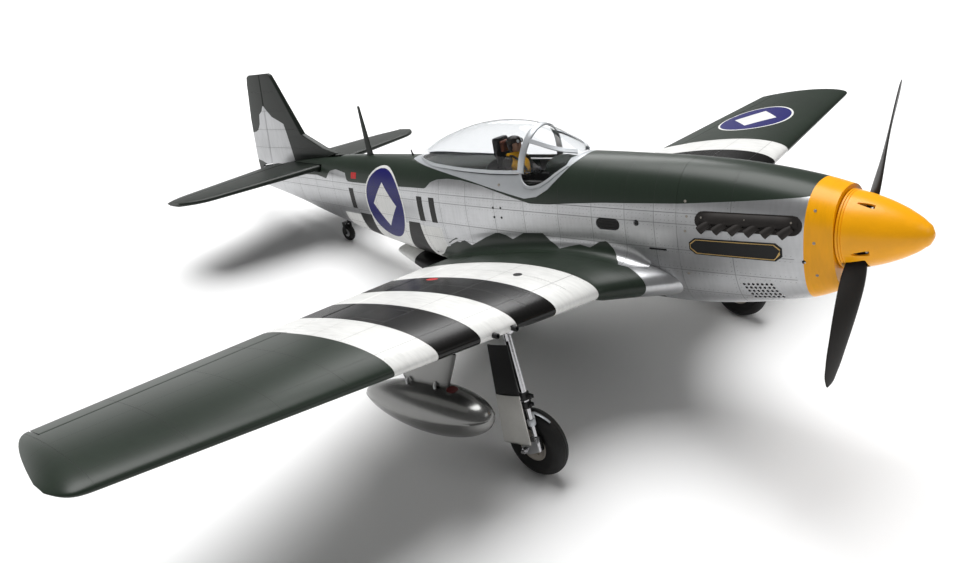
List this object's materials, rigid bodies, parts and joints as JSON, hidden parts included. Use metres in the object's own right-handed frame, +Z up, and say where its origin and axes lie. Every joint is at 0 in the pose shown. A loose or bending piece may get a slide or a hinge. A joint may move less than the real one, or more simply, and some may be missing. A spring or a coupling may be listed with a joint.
{
  "type": "radio-controlled warbird airplane",
  "caption": "Single-engine low-wing scale model airplane with tail-dragger retractable gear, bubble canopy hatch, drop tanks and moving control surfaces.",
  "frame": {"origin": "centre of the footprint on the ground, wheels at Z = 0", "axes": "+X towards the nose, +Y to the port wing tip, +Z up; the model stands nose-up on its tail wheel"},
  "size_m": [1.489, 1.72, 0.5234],
  "materials": {
    "painted_green": "satin",
    "silver_paint": "satin",
    "yellow_paint": "satin",
    "black_plastic": "satin",
    "white_paint": "gloss",
    "tyre_rubber": "matte",
    "chrome_steel": "polished",
    "dark_alloy": "satin",
    "clear_glass": "clear",
    "birch_ply": "matte",
    "brown_leather": "matte",
    "black_composite": "satin",
    "blue_wrap": "satin"
  },
  "bodies": {
    "airframe": {"fuselage": "silver_paint", "cowl": "silver_paint", "belly_scoop": "silver_paint", "wing_left": "painted_green", "wing_right": "painted_green", "wing_tube": "black_composite", "stabilizer": "painted_green", "fin": "painted_green", "motor": "dark_alloy", "motor_mount": "birch_ply", "speed_controller": "black_plastic", "battery": "blue_wrap", "battery_tray": "birch_ply", "receiver": "black_plastic", "servo_rudder": "black_plastic", "servo_elevator": "black_plastic", "servo_tray": "birch_ply", "exhaust_left": "black_plastic", "exhaust_right": "black_plastic", "antenna_mast": "painted_green", "drop_tank_left": "silver_paint", "drop_tank_right": "silver_paint", "pylon_left": "silver_paint", "pylon_right": "silver_paint", "retract_unit_left": "black_plastic", "retract_unit_right": "black_plastic"},
    "prop_drive": {"spinner": "yellow_paint", "spinner_backplate": "dark_alloy", "propeller": "black_composite", "prop_nut": "dark_alloy", "motor_shaft": "chrome_steel"},
    "hatch": {"canopy_frame": "silver_paint", "canopy_glass": "clear_glass", "windshield_arch": "silver_paint", "cockpit_tub": "painted_green", "instrument_panel": "black_plastic", "seat": "black_plastic", "pilot": "brown_leather"},
    "rudder": {"rudder": "painted_green"},
    "tail_leg": {"tail_leg": "dark_alloy"},
    "tail_wheel": {"tail_tyre": "tyre_rubber", "tail_wheel_hub": "silver_paint"},
    "pushrod_rudder": {"pushrod_rudder": "black_composite"},
    "pushrod_elevator": {"pushrod_elevator": "black_composite"},
    "aileron_left": {"aileron_left": "painted_green"},
    "flap_left": {"flap_left": "painted_green"},
    "elevator_left": {"elevator_left": "painted_green"},
    "leg_left": {"strut_left": "chrome_steel", "gear_door_left": "white_paint"},
    "oleo_left": {"oleo_left": "chrome_steel"},
    "wheel_left": {"tyre_left": "tyre_rubber", "wheel_hub_left": "dark_alloy"},
    "aileron_right": {"aileron_right": "painted_green"},
    "flap_right": {"flap_right": "painted_green"},
    "elevator_right": {"elevator_right": "painted_green"},
    "leg_right": {"strut_right": "chrome_steel", "gear_door_right": "white_paint"},
    "oleo_right": {"oleo_right": "chrome_steel"},
    "wheel_right": {"tyre_right": "tyre_rubber", "wheel_hub_right": "dark_alloy"}
  },
  "joints": [
    {"name": "propeller_spin", "type": "hinge", "parent": "airframe", "child": "prop_drive", "pos_m": [0.64693, 0, 0.36157], "axis": [0.9755, 0, 0.2198], "continuous": true},
    {"name": "hatch_lift", "type": "slide", "parent": "airframe", "child": "hatch", "axis": [-0.2198, 0, 0.9755], "range_m": [0, 0.12]},
    {"name": "rudder_hinge", "type": "hinge", "parent": "airframe", "child": "rudder", "pos_m": [-0.67838, 0, 0.18816], "axis": [-0.0319, 0, 0.9995], "range_deg": [-25, 25]},
    {"name": "tail_leg_steer", "type": "hinge", "parent": "airframe", "child": "tail_leg", "pos_m": [-0.41345, 0, 0.06335], "axis": [-0.2198, 0, 0.9755], "range_deg": [-25, 25]},
    {"name": "tail_wheel_spin", "type": "hinge", "parent": "tail_leg", "child": "tail_wheel", "pos_m": [-0.41264, 0, 0.01884], "axis": [0, 1, 0], "continuous": true},
    {"name": "pushrod_rudder_slide", "type": "slide", "parent": "airframe", "child": "pushrod_rudder", "axis": [0.9755, 0, 0.2198], "range_m": [-0.006, 0.006]},
    {"name": "pushrod_elevator_slide", "type": "slide", "parent": "airframe", "child": "pushrod_elevator", "axis": [0.9755, 0, 0.2198], "range_m": [-0.005, 0.005]},
    {"name": "aileron_left_hinge", "type": "hinge", "parent": "airframe", "child": "aileron_left", "pos_m": [0.12937, 0.661, 0.23023], "axis": [0.1379, 0.9792, 0.149], "range_deg": [-20, 20]},
    {"name": "flap_left_hinge", "type": "hinge", "parent": "airframe", "child": "flap_left", "pos_m": [0.09067, 0.2975, 0.17704], "axis": [-0.1285, -0.98, -0.1522], "range_deg": [0, 36]},
    {"name": "elevator_left_hinge", "type": "hinge", "parent": "airframe", "child": "elevator_left", "pos_m": [-0.58575, 0.16, 0.13523], "axis": [0.0607, 0.9981, 0.0137], "range_deg": [-20, 20]},
    {"name": "gear_left_retract", "type": "hinge", "parent": "airframe", "child": "leg_left", "pos_m": [0.3401, 0.314, 0.23112], "axis": [-0.9313, 0.1279, -0.341], "range_deg": [0, 79]},
    {"name": "oleo_left_slide", "type": "slide", "parent": "leg_left", "child": "oleo_left", "axis": [-0.3467, 0, 0.938], "range_m": [0, 0.012], "stiffness_N_per_m": 4000, "springref_m": -0.01},
    {"name": "wheel_left_spin", "type": "hinge", "parent": "oleo_left", "child": "wheel_left", "pos_m": [0.38162, 0.292, 0.05145], "axis": [0, 1, 0], "continuous": true},
    {"name": "aileron_right_hinge", "type": "hinge", "parent": "airframe", "child": "aileron_right", "pos_m": [0.12937, -0.661, 0.23023], "axis": [-0.1379, 0.9792, -0.149], "range_deg": [-20, 20]},
    {"name": "flap_right_hinge", "type": "hinge", "parent": "airframe", "child": "flap_right", "pos_m": [0.09067, -0.2975, 0.17704], "axis": [0.1285, -0.98, 0.1522], "range_deg": [0, 36]},
    {"name": "elevator_right_hinge", "type": "hinge", "parent": "airframe", "child": "elevator_right", "pos_m": [-0.58575, -0.16, 0.13523], "axis": [-0.0607, 0.9981, -0.0137], "range_deg": [-20, 20]},
    {"name": "gear_right_retract", "type": "hinge", "parent": "airframe", "child": "leg_right", "pos_m": [0.3401, -0.314, 0.23112], "axis": [0.9313, 0.1279, 0.341], "range_deg": [0, 79]},
    {"name": "oleo_right_slide", "type": "slide", "parent": "leg_right", "child": "oleo_right", "axis": [-0.3467, 0, 0.938], "range_m": [0, 0.012], "stiffness_N_per_m": 4000, "springref_m": -0.01},
    {"name": "wheel_right_spin", "type": "hinge", "parent": "oleo_right", "child": "wheel_right", "pos_m": [0.38162, -0.292, 0.05145], "axis": [0, 1, 0], "continuous": true}
  ],
  "couplings": [
    {"joint": "aileron_right_hinge", "follows": "aileron_left_hinge", "ratio": -1},
    {"joint": "flap_right_hinge", "follows": "flap_left_hinge", "ratio": 1},
    {"joint": "elevator_right_hinge", "follows": "elevator_left_hinge", "ratio": 1},
    {"joint": "gear_right_retract", "follows": "gear_left_retract", "ratio": 1},
    {"joint": "tail_leg_steer", "follows": "rudder_hinge", "ratio": 1},
    {"joint": "pushrod_rudder_slide", "follows": "rudder_hinge", "m_per_rad": 0.012},
    {"joint": "pushrod_elevator_slide", "follows": "elevator_left_hinge", "m_per_rad": 0.012}
  ]
}
